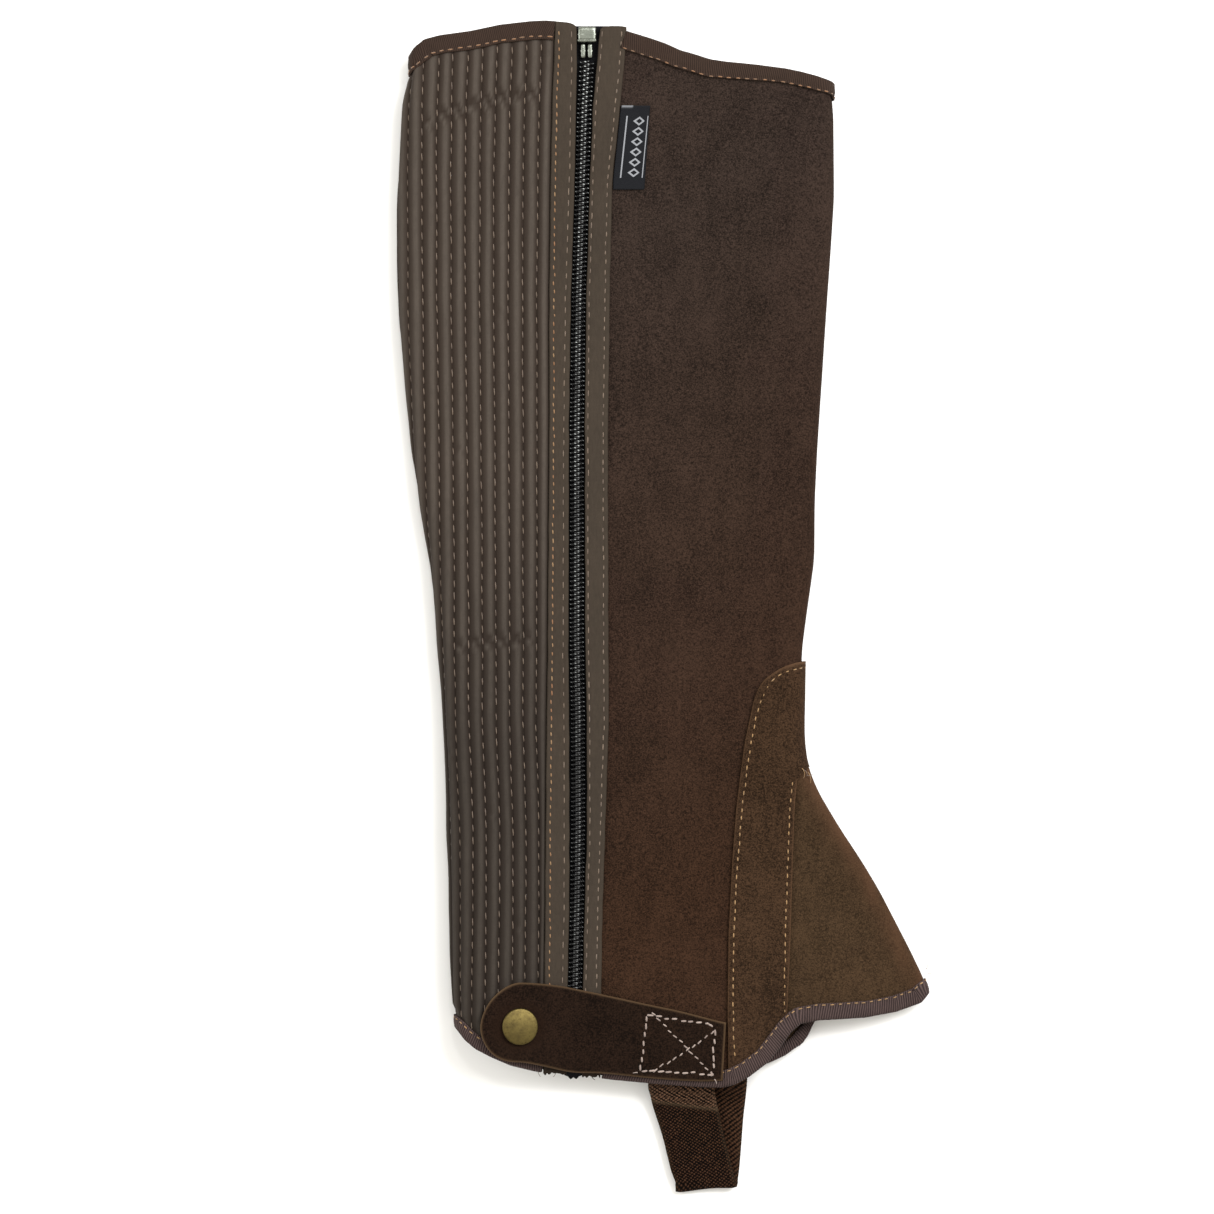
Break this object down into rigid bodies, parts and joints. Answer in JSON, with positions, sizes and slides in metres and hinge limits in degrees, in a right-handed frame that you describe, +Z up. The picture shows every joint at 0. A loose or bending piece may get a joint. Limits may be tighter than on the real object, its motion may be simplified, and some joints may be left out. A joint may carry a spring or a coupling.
{
  "type": "half chap",
  "caption": "Zip-closed half chap for one lower leg, lying flat, with suede shin panel, ribbed stretch calf panel, snap tab and elastic stirrup strap.",
  "frame": {"origin": "middle of the bounding box's underside, on the surface the half chap lies on", "axes": "+X towards the shin and instep, +Y up the leg to the top edge, +Z up from the surface, out of the side that shows"},
  "size_m": [0.2188, 0.4804, 0.0277],
  "materials": {
    "suede": "matte brown suede",
    "gusset_suede": "matte lighter brown suede",
    "overlay_suede": "matte warm brown suede",
    "ribbed_cloth": "ribbed stretch cloth with beige stitch lines",
    "binding_tape": "fine ribbed binding tape",
    "band_cloth": "fine ribbed woven band",
    "zip_tape_cloth": "black woven zip tape",
    "zip_plastic": "black coil teeth",
    "zip_metal": "bright grey metal",
    "tab_leather": "dark matte leather with a pale cut edge",
    "antique_brass": "aged satin brass",
    "label_weave": "near-black woven label, bare",
    "strap_elastic": "dark brown twill elastic"
  },
  "bodies": {
    "root": {"ankle_overlay": "overlay_suede", "bottom_binding_back": "binding_tape", "bottom_binding_front": "binding_tape", "instep_gusset": "gusset_suede", "label": "label_weave", "ribbed_panel": "ribbed_cloth", "snap_cap": "antique_brass", "snap_socket": "antique_brass", "snap_stud": "antique_brass", "snap_tab": "tab_leather", "stirrup_strap": "strap_elastic", "suede_panel": "suede", "top_binding_back": "binding_tape", "top_binding_front": "binding_tape", "zip_band_left": "band_cloth", "zip_band_right": "band_cloth", "zip_box": "zip_metal", "zip_coil": "zip_plastic", "zip_pin_left": "zip_metal", "zip_pin_right": "zip_metal", "zip_puller": "zip_metal", "zip_slider": "zip_metal", "zip_tape": "zip_tape_cloth"}
  },
  "joints": []
}
